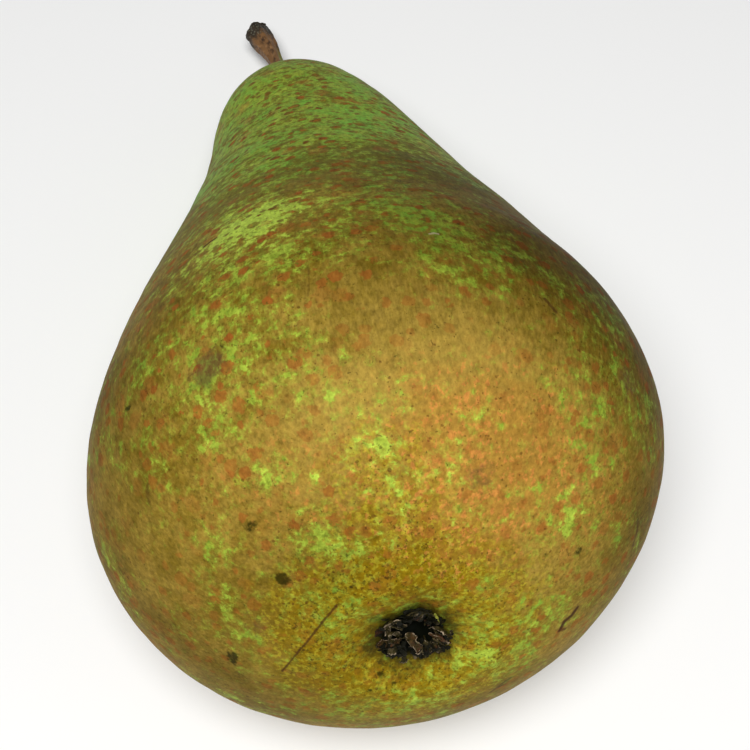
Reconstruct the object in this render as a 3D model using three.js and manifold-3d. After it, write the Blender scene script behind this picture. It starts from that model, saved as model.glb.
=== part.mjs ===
// A long-necked pear as picked, lying on its side on a level surface.
// Millimetres, +Z up. The calyx end faces -Y and the stem points along +Y.
// The origin is on the surface, straight below the fruit's centre of mass.
import * as THREE from 'three';
import { mergeVertices } from 'three/addons/utils/BufferGeometryUtils.js';
import Module from 'manifold-3d';

const wasm = await Module();
wasm.setup();

// Fruit, in its own frame: its core line is the Y axis and the calyx end is at y = 0
const fruitLength = 110;
const bellyRadius = 32;
const bellyAt = 26.2; // from the calyx end to the widest ring
const bellyHold = 0.2; // share of the flank that keeps close to the belly's width
const waistPull = 0.44; // share of the flank that the neck's taper reaches back over
const shoulderRadius = 14.4; // where the rounded neck end begins
const shoulderBack = 20.2; // from the neck end back to that ring
const shoulderTaper = THREE.MathUtils.degToRad(14.1);
const capReach = 12.5; // how far the neck's taper carries on into the rounded end
const capFullness = 0.64; // how square that end is
const neckBend = 2.7; // how far the neck end leans towards -X
const neckBendPower = 3.4; // how late along the neck it does so
const ovalness = 0.03; // the belly is a little wider one way than the other
const ovalTurn = THREE.MathUtils.degToRad(16);
const threeSided = 0.011; // and a little three-sided
const threeSidedTurn = THREE.MathUtils.degToRad(11);

// Hollows at the two ends of the fruit
const basin = { radius: 9.5, depth: 2.9, offset: 0.8, lobes: 5, lobeShare: 0.14 };
const basinBottom = basin.depth;
const stemPit = { radius: 7, depth: 1.3 };

// How the fruit lies: belly and neck touch, and the skin is pressed flat where they carry the weight
const waistAt = 68; // between the two places that touch
const steepestTilt = THREE.MathUtils.degToRad(30);
const pressDepth = 0.7;
const pressBlend = 0.2;

// Stem, along a line that starts in the stem pit
const stemRootDepth = 3;
const stemReach = 19.5; // from the bottom of the pit to the tip, along Y
const stemLean = 3.4; // of the tip, towards -X
const stemLift = 1.8; // of the tip, upwards
const stemRadius = 1.2;
const stemCollar = 0.3; // extra radius where it grows out of the fruit
const stemKnob = 0.5; // extra radius at the swollen tip
const stemTipSlant = 0.45; // how far the broken end is off square, for each mm across
const stemRibs = { count: 5, height: 0.09 };

// Calyx: a small dried cup with a ring of withered sepals
const cup = { radius: 3, wall: 1, floor: 1, height: 3, sunk: 2.4, edge: 0.3, taper: 0.3 };
const sepal = {
  count: 5,
  reach: 2, // from the middle of the cup's wall to the tip
  rise: 1, // above the rim
  droop: 0.1, // of the tip
  unevenness: 0.12,
  width: 2.8,
  taper: 0.5, // share of the width lost at the tip
  thickness: 0.8,
};

const socketGap = 0.3; // clearance round the stem's root and the calyx cup

// How finely the surfaces are divided: steps round each axis, and along each stretch
const around = { fruit: 72, stem: 20, cup: 30, sepal: 12 };
const along = { calyxEnd: 20, side: 20, neckEnd: 11, stem: 28, sepal: 12 };

// Welds a closed mesh and leaves out the triangles that shrink to nothing on a lathe's axis
function weld(geometry) {
  const bare = geometry.clone();
  bare.deleteAttribute('normal');
  bare.deleteAttribute('uv');
  const merged = mergeVertices(bare, 1e-4);
  const corners = [];
  for (let i = 0; i < merged.index.count; i += 3) {
    const [a, b, c] = merged.index.array.slice(i, i + 3);
    if (a !== b && b !== c && c !== a) corners.push(a, b, c);
  }
  return merged.setIndex(corners);
}

function solidOf(geometry) {
  const { attributes, index } = weld(geometry);
  return new wasm.Manifold(new wasm.Mesh({
    numProp: 3,
    vertProperties: attributes.position.array,
    triVerts: new Uint32Array(index.array),
  }));
}

function geometryOf(solid) {
  const { vertProperties, triVerts } = solid.getMesh();
  const geometry = new THREE.BufferGeometry();
  geometry.setAttribute('position', new THREE.BufferAttribute(vertProperties, 3));
  geometry.setIndex(new THREE.BufferAttribute(triVerts, 1));
  geometry.computeVertexNormals();
  return geometry;
}

function moveVertices(geometry, move) {
  const position = geometry.attributes.position;
  const point = new THREE.Vector3();
  for (let i = 0; i < position.count; i++) {
    move(point.fromBufferAttribute(position, i));
    position.setXYZ(i, point.x, point.y, point.z);
  }
  return geometry;
}

// A straight rod along +Y, from 0 to length, whose radius is a function of y / length
function turnedRod(length, radiusAt, steps, segments) {
  const outline = [new THREE.Vector2(0, 0)];
  for (let i = 0; i <= steps; i++) {
    outline.push(new THREE.Vector2(radiusAt(i / steps), (length * i) / steps));
  }
  outline.push(new THREE.Vector2(0, length));
  return new THREE.LatheGeometry(outline, segments);
}

// Half the fruit's outline, from the calyx end round the belly to the neck end
function fruitOutline() {
  const shoulderAt = fruitLength - shoulderBack;
  const flank = shoulderAt - bellyAt;
  const inwards = Math.tan(shoulderTaper);
  const waistReach = waistPull * flank;
  const calyxEnd = new THREE.EllipseCurve(0, bellyAt, bellyRadius, bellyAt, -Math.PI / 2, 0);
  const side = new THREE.CubicBezierCurve(
    new THREE.Vector2(bellyRadius, bellyAt),
    new THREE.Vector2(bellyRadius, bellyAt + bellyHold * flank),
    new THREE.Vector2(shoulderRadius + inwards * waistReach, shoulderAt - waistReach),
    new THREE.Vector2(shoulderRadius, shoulderAt),
  );
  const neckEnd = new THREE.CubicBezierCurve(
    new THREE.Vector2(shoulderRadius, shoulderAt),
    new THREE.Vector2(shoulderRadius - inwards * capReach, shoulderAt + capReach),
    new THREE.Vector2(capFullness * shoulderRadius, fruitLength),
    new THREE.Vector2(0, fruitLength),
  );
  const outline = [
    ...calyxEnd.getPoints(along.calyxEnd),
    ...side.getSpacedPoints(along.side).slice(1),
    ...neckEnd.getSpacedPoints(along.neckEnd).slice(1),
  ];
  outline[0].x = 0; // the arc's end misses the axis by a rounding error
  return outline;
}

// The core line's sideways place at height y, and its slope there
function coreLine(y) {
  const neckLength = fruitLength - bellyAt;
  const share = Math.max(0, (y - bellyAt) / neckLength);
  return {
    x: -neckBend * share ** neckBendPower,
    slope: (-neckBend * neckBendPower * share ** (neckBendPower - 1)) / neckLength,
  };
}

// 1 at the middle of a hollow, falling smoothly to 0 at its rim
function hollowShare(distance, radius) {
  return Math.max(0, 1 - (distance / radius) ** 2) ** 2;
}

// Turns a round lathed fruit into a grown one: hollows, slight lobes and a leaning neck
function growFruit(point) {
  const angle = Math.atan2(point.z, point.x);
  const height = point.y;
  let radius = Math.hypot(point.x, point.z);
  if (height < bellyAt) {
    const share = hollowShare(Math.hypot(point.x - basin.offset, point.z), basin.radius);
    const basinAngle = Math.atan2(point.z, point.x - basin.offset);
    const ripple = 1 + basin.lobeShare * Math.cos(basin.lobes * basinAngle) * (1 - share);
    point.y += basin.depth * share * ripple;
  } else {
    point.y -= stemPit.depth * hollowShare(radius, stemPit.radius);
  }
  const swell = Math.sqrt(Math.sin(Math.PI * THREE.MathUtils.clamp(height / fruitLength, 0, 1)));
  radius *= 1 + swell * (ovalness * Math.cos(2 * (angle - ovalTurn))
    + threeSided * Math.cos(3 * (angle - threeSidedTurn)));
  const core = coreLine(point.y);
  const sideways = (radius * Math.cos(angle)) / Math.hypot(1, core.slope);
  point.set(core.x + sideways, point.y - sideways * core.slope, radius * Math.sin(angle));
}

function lowestPoint(geometry, matrix, accept) {
  let lowest = Infinity;
  moveVertices(geometry.clone(), (point) => {
    if (accept(point)) lowest = Math.min(lowest, point.applyMatrix4(matrix).z);
  });
  return lowest;
}

// The tilt at which the belly and the neck reach equally low, found by halving
function lyingTilt(geometry) {
  let [least, most] = [0, steepestTilt];
  for (let i = 0; i < 40; i++) {
    const tilt = (least + most) / 2;
    const turned = new THREE.Matrix4().makeRotationX(-tilt);
    const belly = lowestPoint(geometry, turned, (point) => point.y < waistAt);
    const neck = lowestPoint(geometry, turned, (point) => point.y >= waistAt);
    if (neck > belly) least = tilt;
    else most = tilt;
  }
  return (least + most) / 2;
}

function centreOfMass(geometry) {
  const { position } = geometry.attributes;
  const corners = [new THREE.Vector3(), new THREE.Vector3(), new THREE.Vector3()];
  const centre = new THREE.Vector3();
  let volume = 0;
  for (let i = 0; i < geometry.index.count; i += 3) {
    corners.forEach((corner, k) => corner.fromBufferAttribute(position, geometry.index.getX(i + k)));
    const [a, b, c] = corners;
    const part = a.dot(b.clone().cross(c)) / 6;
    volume += part;
    centre.addScaledVector(a.clone().add(b).add(c), part / 4);
  }
  return centre.divideScalar(volume);
}

// Flat below the surface, and rounded off into the free skin just above it
function pressFlat(point) {
  if (point.z <= -pressBlend) point.z = 0;
  else if (point.z < pressBlend) point.z = (point.z + pressBlend) ** 2 / (4 * pressBlend);
}

// A round hole along Y, for a piece that is set into the fruit
function socket(radius, from, to, x) {
  const hole = new THREE.CylinderGeometry(radius, radius, to - from, around.cup);
  return solidOf(hole.translate(x, (from + to) / 2, 0));
}

// The stem's centre line: along the core line first, then leaning aside
function stemLine() {
  const neck = coreLine(fruitLength);
  const pitBottom = fruitLength - stemPit.depth;
  return new THREE.CatmullRomCurve3([
    new THREE.Vector3(neck.x - neck.slope * stemRootDepth, pitBottom - stemRootDepth, 0),
    new THREE.Vector3(neck.x, pitBottom, 0),
    new THREE.Vector3(neck.x - 0.16 * stemLean, pitBottom + 0.36 * stemReach, 0.25 * stemLift),
    new THREE.Vector3(neck.x - 0.5 * stemLean, pitBottom + 0.7 * stemReach, 0.6 * stemLift),
    new THREE.Vector3(neck.x - stemLean, pitBottom + stemReach, stemLift),
  ]);
}

function stemGeometry() {
  const line = stemLine();
  const length = line.getLength();
  const rootShare = stemRootDepth / length;
  const radiusAt = (share) => stemRadius
    + stemCollar * Math.exp(-(((share - rootShare) / 0.1) ** 2))
    + stemKnob * THREE.MathUtils.smoothstep(share, 0.55, 0.95)
    - 0.45 * stemKnob * THREE.MathUtils.smoothstep(share, 0.95, 1);
  const sideAxis = new THREE.Vector3(1, 0, 0);
  const rod = turnedRod(length, radiusAt, along.stem, around.stem);
  return moveVertices(rod, (point) => {
    const share = THREE.MathUtils.clamp(point.y / length, 0, 1);
    const angle = Math.atan2(point.z, point.x);
    const ribs = 1 + (stemRibs.height / stemRadius) * Math.cos(stemRibs.count * angle + 2 * share);
    const radius = Math.hypot(point.x, point.z) * ribs;
    const slant = stemTipSlant * THREE.MathUtils.smoothstep(share, 0.85, 1);
    const tangent = line.getTangentAt(share);
    const across = sideAxis.clone().addScaledVector(tangent, -sideAxis.dot(tangent)).normalize();
    const other = across.clone().cross(tangent);
    point.copy(line.getPointAt(share))
      .addScaledVector(tangent, slant * radius * Math.cos(angle))
      .addScaledVector(across, radius * Math.cos(angle))
      .addScaledVector(other, radius * Math.sin(angle));
  });
}

// One withered sepal: a flattened drop that starts in the cup's wall and curls over outwards
function sepalGeometry(index) {
  const rise = sepal.rise * (1 + sepal.unevenness * Math.sin(2.4 * index + 0.7));
  const root = cup.radius - cup.wall / 2;
  const line = new THREE.CatmullRomCurve3([
    new THREE.Vector3(root, 0.7, 0),
    new THREE.Vector3(root + 0.15, -0.4, 0),
    new THREE.Vector3(root + 0.4 * sepal.reach, -rise, 0),
    new THREE.Vector3(root + sepal.reach, sepal.droop - rise, 0),
  ]);
  const drop = new THREE.SphereGeometry(1, around.sepal, along.sepal);
  moveVertices(drop, (point) => {
    const share = (point.y + 1) / 2;
    const place = line.getPoint(share);
    const tangent = line.getTangent(share);
    const thickness = (sepal.thickness / 2) * point.z;
    const sideways = (sepal.width / 2) * (1 - sepal.taper * share) * point.x;
    point.set(place.x - tangent.y * thickness, place.y + tangent.x * thickness, sideways);
  });
  return drop.rotateY((2 * Math.PI * index) / sepal.count);
}

// The cup stands with its mouth towards -Y. Its rim is the plane y = 0 here.
function calyxGeometry() {
  const inner = cup.radius - cup.wall;
  const section = [
    new THREE.Vector2(0, cup.height - cup.floor),
    new THREE.Vector2(inner - cup.taper, cup.height - cup.floor),
    new THREE.Vector2(inner, cup.edge),
    new THREE.Vector2(inner + cup.edge, 0),
    new THREE.Vector2(cup.radius - cup.edge, 0),
    new THREE.Vector2(cup.radius, cup.edge),
    new THREE.Vector2(cup.radius - cup.taper, cup.height),
    new THREE.Vector2(0, cup.height),
  ];
  let calyx = solidOf(new THREE.LatheGeometry(section, around.cup));
  for (let i = 0; i < sepal.count; i++) {
    calyx = calyx.add(solidOf(sepalGeometry(i)));
  }
  return geometryOf(calyx);
}

function material(color, roughness) {
  return new THREE.MeshStandardMaterial({ color, roughness, metalness: 0 });
}

const round = moveVertices(new THREE.LatheGeometry(fruitOutline(), around.fruit), growFruit);

// From the fruit's own frame to the way it lies, sunk by the depth that is pressed flat
const laid = new THREE.Matrix4().makeRotationX(-lyingTilt(round));
const lowest = lowestPoint(round, laid, () => true);
const weight = centreOfMass(round).applyMatrix4(laid);
laid.setPosition(-weight.x, -weight.y, -lowest - pressDepth);

const calyxFloor = basinBottom + cup.sunk;
const calyxSocket = socket(cup.radius + socketGap, -5, calyxFloor + socketGap, basin.offset);
const stemRootAt = fruitLength - stemPit.depth - stemRootDepth;
const stemRootRadius = stemRadius + stemCollar + 2 * stemRibs.height;
const stemSocket = socket(
  stemRootRadius + socketGap,
  stemRootAt - socketGap,
  fruitLength + 5,
  coreLine(fruitLength).x,
);
const sockets = calyxSocket.add(stemSocket).transform(laid.elements);
const pressed = moveVertices(round.clone().applyMatrix4(laid), pressFlat);

const pear = new THREE.Group();
const fruit = new THREE.Mesh(
  geometryOf(solidOf(pressed).subtract(sockets)),
  material(0x8f8a35, 0.5),
);
fruit.name = 'fruit';
pear.add(fruit);

// The stem and the calyx keep the fruit's own frame and are laid down with it
const lying = new THREE.Group();
lying.applyMatrix4(laid);
pear.add(lying);

const stem = new THREE.Mesh(weld(stemGeometry()), material(0x5a4028, 0.8));
stem.name = 'stem';
lying.add(stem);

const calyx = new THREE.Mesh(calyxGeometry(), material(0x2b2620, 0.9));
calyx.name = 'calyx';
calyx.position.set(basin.offset, calyxFloor - cup.height, 0);
lying.add(calyx);

export default pear;
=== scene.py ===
# A long-necked russet pear lying on its side, dressed over its solids
import math
import random

import bpy
import numpy as np
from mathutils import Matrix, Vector, noise
from mathutils.bvhtree import BVHTree


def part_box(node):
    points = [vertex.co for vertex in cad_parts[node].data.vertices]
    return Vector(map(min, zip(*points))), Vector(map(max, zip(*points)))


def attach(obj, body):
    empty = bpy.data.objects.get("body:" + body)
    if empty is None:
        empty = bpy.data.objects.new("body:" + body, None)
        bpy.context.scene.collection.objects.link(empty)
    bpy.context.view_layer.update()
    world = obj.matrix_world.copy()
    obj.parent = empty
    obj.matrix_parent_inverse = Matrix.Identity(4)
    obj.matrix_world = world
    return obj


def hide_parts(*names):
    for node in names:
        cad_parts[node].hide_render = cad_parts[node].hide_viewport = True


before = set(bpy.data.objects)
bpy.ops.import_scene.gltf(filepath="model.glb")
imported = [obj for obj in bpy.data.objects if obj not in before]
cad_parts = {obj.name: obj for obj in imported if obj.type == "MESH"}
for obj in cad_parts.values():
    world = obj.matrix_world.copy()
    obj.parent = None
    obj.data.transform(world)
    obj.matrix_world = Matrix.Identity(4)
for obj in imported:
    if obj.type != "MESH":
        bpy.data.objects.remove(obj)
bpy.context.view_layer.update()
mm = 0.001

# Shapes are worked out in millimetres in the fruit's own frame: its core is the y axis,
# from 0 at the calyx end, and layDown then tips it onto its side in metres.

fruitShape = {
    "length": 110.0,
    "bellyRadius": 32.0,
    "bellyAt": 26.2,  # from the calyx end to the widest ring
    "bellyHold": 0.2,
    "waistPull": 0.44,
    "shoulderRadius": 14.4,
    "shoulderBack": 20.2,
    "shoulderTaper": math.radians(14.1),
    "capReach": 12.5,
    "capFullness": 0.64,
    "neckBend": 2.7,
    "neckBendPower": 3.4,
    "ovalness": 0.03,
    "ovalTurn": math.radians(16),
    "threeSided": 0.011,
    "threeSidedTurn": math.radians(11),
    "basinRadius": 9.5,
    "basinDepth": 2.9,
    "basinOffset": 0.8,
    "basinLobes": 5,
    "basinLobeShare": 0.14,
    "pitRadius": 7.0,
    "pitDepth": 1.3,
    "waistAt": 68.0,  # what lies beyond counts as the neck when the fruit is laid down
    "mostTilt": math.radians(30),
    "halvings": 40,  # of the search for the tilt
    "pressDepth": 0.7,
    "pressBlend": 0.2,
    "curveSteps": 200,
    "stepsAround": 304,
    "stepsAlong": 310,
    "skinInset": 0.1,  # keeps the fine skin inside the faceted solid's box
    # Where the flanks are a little fuller than the solid: how far along, over what length,
    # by how much, and on which side (1 right, -1 left)
    "fuller": {
        "neckLeft": (97.0, 8.5, 0.75, -1),
        "neckRight": (86.0, 14.0, 0.55, 1),
        "flankRight": (36.0, 6.5, 0.5, 1),
    },
    "fullerAcross": (-0.2, 0.9),  # where this fullness begins and ends, sideways
    "fullerUpwards": (-0.9, -0.2),
    "swellHeight": 0.2,  # broad dents and swellings of the skin
    "swellSize": 17.0,
    "dimpleHeight": 0.05,
    "dimpleSize": 3.2,
    "foldHeight": 0.07,  # radial puckers in the basin round the calyx
    "folds": 17,
    "foldsAt": 5.0,
    "foldsReach": 2.2,
    "foldsWander": 1.5,
    "hollowRadius": 2.7,  # the dark hollow inside the calyx
    "hollowDepth": 2.1,
    "hollowWall": 1.1,
    "hollowWaves": [(3, 0.12, 1), (5, 0.08, 0)],  # count round it, height as a share, start
}


def fullTurn(steps):
    return np.linspace(0, 2 * math.pi, steps, endpoint=False)


def bezier(a, b, c, d, steps):
    t = np.linspace(0, 1, steps + 1)[:, None]
    a, b, c, d = (np.array(corner, float) for corner in (a, b, c, d))
    return (1 - t) ** 3 * a + 3 * (1 - t) ** 2 * t * b + 3 * (1 - t) * t**2 * c + t**3 * d


# Waves round a ring: each one's count, height and start
def waves(angle, kinds):
    return sum(height * np.sin(count * angle + start) for count, height, start in kinds)


# The same line again, in even steps from one end to the other
def evenly(line, steps):
    walked = np.concatenate([[0], np.cumsum(np.linalg.norm(np.diff(line, axis=0), axis=1))])
    even = np.linspace(0, walked[-1], steps + 1)
    return np.stack([np.interp(even, walked, column) for column in line.T], 1), walked[-1]


# Radius and height of the fruit's outline
def fruitOutline(s):
    shoulderAt = s["length"] - s["shoulderBack"]
    flank = shoulderAt - s["bellyAt"]
    inwards = math.tan(s["shoulderTaper"])
    waistReach = s["waistPull"] * flank
    turn = np.linspace(0, math.pi / 2, s["curveSteps"])
    calyxEnd = np.stack([s["bellyRadius"] * np.sin(turn), s["bellyAt"] * (1 - np.cos(turn))], 1)
    side = bezier(
        (s["bellyRadius"], s["bellyAt"]),
        (s["bellyRadius"], s["bellyAt"] + s["bellyHold"] * flank),
        (s["shoulderRadius"] + inwards * waistReach, shoulderAt - waistReach),
        (s["shoulderRadius"], shoulderAt),
        2 * s["curveSteps"],
    )
    neckEnd = bezier(
        (s["shoulderRadius"], shoulderAt),
        (s["shoulderRadius"] - inwards * s["capReach"], shoulderAt + s["capReach"]),
        (s["capFullness"] * s["shoulderRadius"], s["length"]),
        (0, s["length"]),
        s["curveSteps"],
    )
    return evenly(np.concatenate([calyxEnd, side[1:], neckEnd[1:]]), s["stepsAlong"])[0]


def coreLine(s, height):
    neckLength = s["length"] - s["bellyAt"]
    share = np.maximum(0, (height - s["bellyAt"]) / neckLength)
    sideways = -s["neckBend"] * share ** s["neckBendPower"]
    slope = -s["neckBend"] * s["neckBendPower"] * share ** (s["neckBendPower"] - 1) / neckLength
    return sideways, slope


def hollowShare(distance, radius):
    return np.maximum(0, 1 - (distance / radius) ** 2) ** 2


# A grid of rings turned into a grown fruit: hollows, slight lobes and a leaning neck
def grownRings(s):
    radius, height = fruitOutline(s).T[..., None]
    angle = fullTurn(s["stepsAround"])[None]
    x, z = radius * np.cos(angle), radius * np.sin(angle)
    fromBasin = np.hypot(x - s["basinOffset"], z)
    basinAngle = np.arctan2(z, x - s["basinOffset"])
    share = hollowShare(fromBasin, s["basinRadius"]) * (height < s["bellyAt"])
    ripple = 1 + s["basinLobeShare"] * np.cos(s["basinLobes"] * basinAngle) * (1 - share)
    pit = s["pitDepth"] * hollowShare(radius, s["pitRadius"]) * (height > s["bellyAt"])
    swell = np.sqrt(np.sin(math.pi * np.clip(height / s["length"], 0, 1)))
    lobes = s["ovalness"] * np.cos(2 * (angle - s["ovalTurn"]))
    lobes = lobes + s["threeSided"] * np.cos(3 * (angle - s["threeSidedTurn"]))
    grownHeight = height + s["basinDepth"] * share * ripple - pit
    grownRadius = radius * (1 + swell * lobes)
    sideways, slope = coreLine(s, grownHeight)
    across = grownRadius * np.cos(angle) / np.hypot(1, slope)
    return np.stack([sideways + across, grownHeight - across * slope, grownRadius * np.sin(angle)], -1)


def tipped(points, tilt):
    turn = np.array([
        [1, 0, 0],
        [0, math.cos(tilt), math.sin(tilt)],
        [0, -math.sin(tilt), math.cos(tilt)],
    ])
    return points @ turn.T


# The tilt at which belly and neck reach equally low, and the shift that puts it on the solid
def findLie(s, rings):
    points = rings.reshape(-1, 3)
    belly = points[points[:, 1] < s["waistAt"]]
    neck = points[points[:, 1] >= s["waistAt"]]
    least, most = 0.0, s["mostTilt"]
    for _ in range(s["halvings"]):
        tilt = (least + most) / 2
        if tipped(neck, tilt)[:, 2].min() > tipped(belly, tilt)[:, 2].min():
            least = tilt
        else:
            most = tilt
    laid = tipped(points, tilt)
    low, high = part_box("fruit")
    middle = (laid.min(0) + laid.max(0)) / 2
    shift = (np.array(low) + np.array(high)) / 2 / mm - middle
    shift[2] = -laid[:, 2].min() - s["pressDepth"]
    return tilt, shift


def layDown(points):
    return tipped(np.asarray(points, float), lieTilt) + lieShift


print("Fruit: outline and lie")
rings = grownRings(fruitShape)
lieTilt, lieShift = findLie(fruitShape, rings)


# Camera, lights and floor

view = {
    "photoSize": 750,  # pixels each way
    "lens": 75.0,
    "sensor": 36.0,
    "azimuth": math.radians(-7.56),
    "elevation": math.radians(57.5),
    "distance": 200.1,  # mm, from the target
    "target": (2.95, 6.17, 18.52),
    "nearest": 0.01,  # m
    "keyAzimuth": math.radians(-15),
    "keyElevation": math.radians(66),
    "keyDistance": 0.75,  # m
    "keySize": 0.42,
    "keyPower": 5.8,
    "fillAzimuth": math.radians(60),
    "fillElevation": math.radians(35),
    "fillDistance": 0.9,
    "fillSize": 0.6,
    "fillPower": 0.3,
    "worldGrey": 0.13,
    "floorTint": (0.95, 0.95, 0.945),
    "floorDarker": 0.985,
    "floorHalf": 2.0,  # m
    "floorDrop": 0.0001,
    "edgeStep": 0.004,  # how fast a place off the fruit's edge moves in to it
}


def outwards(azimuth, elevation):
    return Vector((
        math.sin(azimuth) * math.cos(elevation),
        -math.cos(azimuth) * math.cos(elevation),
        math.sin(elevation),
    ))


def addToScene(thing):
    bpy.context.scene.collection.objects.link(thing)
    return thing


def makeCamera(v):
    data = bpy.data.cameras.new("camera")
    data.lens = v["lens"]
    data.sensor_width = v["sensor"]
    data.clip_start = v["nearest"]
    camera = addToScene(bpy.data.objects.new("camera", data))
    back = outwards(v["azimuth"], v["elevation"])
    camera.location = (Vector(v["target"]) + back * v["distance"]) * mm
    camera.rotation_euler = (-back).to_track_quat("-Z", "Y").to_euler()
    bpy.context.scene.camera = camera
    bpy.context.view_layer.update()
    return camera


def makeLamp(v, name):
    data = bpy.data.lights.new(name + "Lamp", "AREA")
    data.shape = "DISK"
    data.size = v[name + "Size"]
    data.energy = v[name + "Power"]
    lamp = addToScene(bpy.data.objects.new(name + "Lamp", data))
    direction = outwards(v[name + "Azimuth"], v[name + "Elevation"])
    lamp.location = direction * v[name + "Distance"]
    lamp.rotation_euler = direction.to_track_quat("Z", "Y").to_euler()


def makeWorld(grey):
    world = bpy.data.worlds.new("studio")
    world.use_nodes = True
    background = world.node_tree.nodes["Background"]
    background.inputs["Color"].default_value = (1, 1, 1, 1)
    background.inputs["Strength"].default_value = grey
    bpy.context.scene.world = world


# Shader maths: Wire wraps a socket, so sums of wires and numbers add their own Math nodes

class Wire:
    def __init__(self, paint, node, socket):
        self.paint = paint
        self.node = node
        self.socket = socket

    def out(self, name):
        return Wire(self.paint, self.node, self.node.outputs[name])

    def __add__(self, other):
        return self.paint.maths("ADD", self, other)

    def __radd__(self, other):
        return self.paint.maths("ADD", other, self)

    def __sub__(self, other):
        return self.paint.maths("SUBTRACT", self, other)

    def __rsub__(self, other):
        return self.paint.maths("SUBTRACT", other, self)

    def __mul__(self, other):
        return self.paint.maths("MULTIPLY", self, other)

    def __rmul__(self, other):
        return self.paint.maths("MULTIPLY", other, self)

    # A field from 0 to 1, made to sway about 0
    def sway(self, amount):
        return (self - 0.5) * amount


class Paint:
    def __init__(self, name):
        self.material = bpy.data.materials.new(name)
        self.material.use_nodes = True
        self.tree = self.material.node_tree
        self.shader = self.tree.nodes["Principled BSDF"]

    def plug(self, node, inputs):
        for key, value in inputs.items():
            if isinstance(value, Wire):
                self.tree.links.new(value.socket, node.inputs[key])
            else:
                node.inputs[key].default_value = value

    # Any node: its type, its settings, its sockets' values or wires, and the output to hand on
    def node(self, kind, settings, inputs, output=0):
        made = self.tree.nodes.new(kind)
        for key, value in settings.items():
            if key == "stops":
                self.setStops(made.color_ramp, value)
            else:
                setattr(made, key, value)
        self.plug(made, inputs)
        return Wire(self, made, made.outputs[output])

    def setStops(self, ramp, stops):
        for element, (place, colour) in zip((ramp.elements[0], ramp.elements[1]), (stops[0], stops[-1])):
            element.position = place
            element.color = tint(*colour)
        for place, colour in stops[1:-1]:
            ramp.elements.new(place).color = tint(*colour)

    def maths(self, operation, *values):
        return self.node("ShaderNodeMath", {"operation": operation}, dict(enumerate(values)))

    def vector(self, operation, *values, output="Vector"):
        return self.node("ShaderNodeVectorMath", {"operation": operation}, dict(enumerate(values)), output)

    def parts(self, colour):
        split = self.node("ShaderNodeSeparateColor", {}, {0: colour}, "Red")
        return split, split.out("Green"), split.out("Blue")

    # Three fields in one noise
    def fields(self, place, size, detail, roughness=0.55):
        return self.parts(self.noise(place, size, detail, roughness, output="Color"))

    def grey(self, level):
        return self.node("ShaderNodeCombineColor", {}, {0: level, 1: level, 2: level})

    def fade(self, value, start, end):
        inputs = {"Value": value, "From Min": start, "From Max": end}
        return self.node("ShaderNodeMapRange", {"interpolation_type": "SMOOTHSTEP"}, inputs)

    def mix(self, share, a, b, blend="MIX"):
        a, b = (tint(*c) if isinstance(c, tuple) and len(c) == 3 else c for c in (a, b))
        settings = {"data_type": "RGBA", "blend_type": blend, "clamp_factor": True}
        return self.node("ShaderNodeMix", settings, {0: share, 6: a, 7: b}, 2)

    # Lays a coat, which is a colour and how strongly it covers, over what is there
    def lay(self, below, share, coat, blend="MIX"):
        return self.mix(share * coat[1], below, coat[0], blend)

    def attribute(self, name, output):
        return self.node("ShaderNodeAttribute", {"attribute_name": name}, {}, output)

    # Noise of the given size in millimetres
    def noise(self, place, size, detail=4.0, roughness=0.55, distortion=0.0, output="Fac"):
        inputs = {
            "Vector": place, "Scale": 1 / size, "Detail": detail,
            "Roughness": roughness, "Distortion": distortion,
        }
        return self.node("ShaderNodeTexNoise", {}, inputs, output)

    def cells(self, place, size):
        return self.node("ShaderNodeTexVoronoi", {}, {"Vector": place, "Scale": 1 / size}, "Distance")

    def bump(self, height, strength, depth):
        inputs = {"Height": height, "Strength": strength, "Distance": depth * mm}
        return self.node("ShaderNodeBump", {}, inputs)

    # Moves a place by three fields, each half up and half down
    def shift(self, place, fields, amount):
        by = self.node("ShaderNodeCombineXYZ", {}, dict(enumerate(fields)))
        centred = self.vector("MULTIPLY_ADD", by, (amount,) * 3, (-amount / 2,) * 3)
        return self.vector("ADD", centred, place)

    def finish(self, **sockets):
        self.plug(self.shader, {key.replace("_", " "): value for key, value in sockets.items()})
        return self.material


# A colour given in the 0 to 255 numbers of an ordinary picture
def tint(red, green, blue):
    def linear(level):
        level /= 255
        return level / 12.92 if level <= 0.04045 else ((level + 0.055) / 1.055) ** 2.4
    return (linear(red), linear(green), linear(blue), 1)


def makeFloor(v):
    paint = Paint("floorPaint")
    place = paint.node("ShaderNodeTexCoord", {}, {}, "Object")
    speckle = paint.noise(place, 0.4, 3)
    pale = v["floorTint"]
    colour = paint.mix(speckle, (*(v["floorDarker"] * c for c in pale), 1), (*pale, 1))
    material = paint.finish(Base_Color=colour, Roughness=0.7)
    mesh = bpy.data.meshes.new("floor")
    far = v["floorHalf"]
    mesh.from_pydata([(-far, -far, 0), (far, -far, 0), (far, far, 0), (-far, far, 0)], [], [(0, 1, 2, 3)])
    mesh.materials.append(material)
    floor = addToScene(bpy.data.objects.new("floor", mesh))
    floor.location.z = -v["floorDrop"]


print("Camera, lights and floor")
camera = makeCamera(view)
makeLamp(view, "key")
makeLamp(view, "fill")
makeWorld(view["worldGrey"])
makeFloor(view)
bpy.context.scene.view_settings.view_transform = "Standard"


# Meshes

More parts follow.
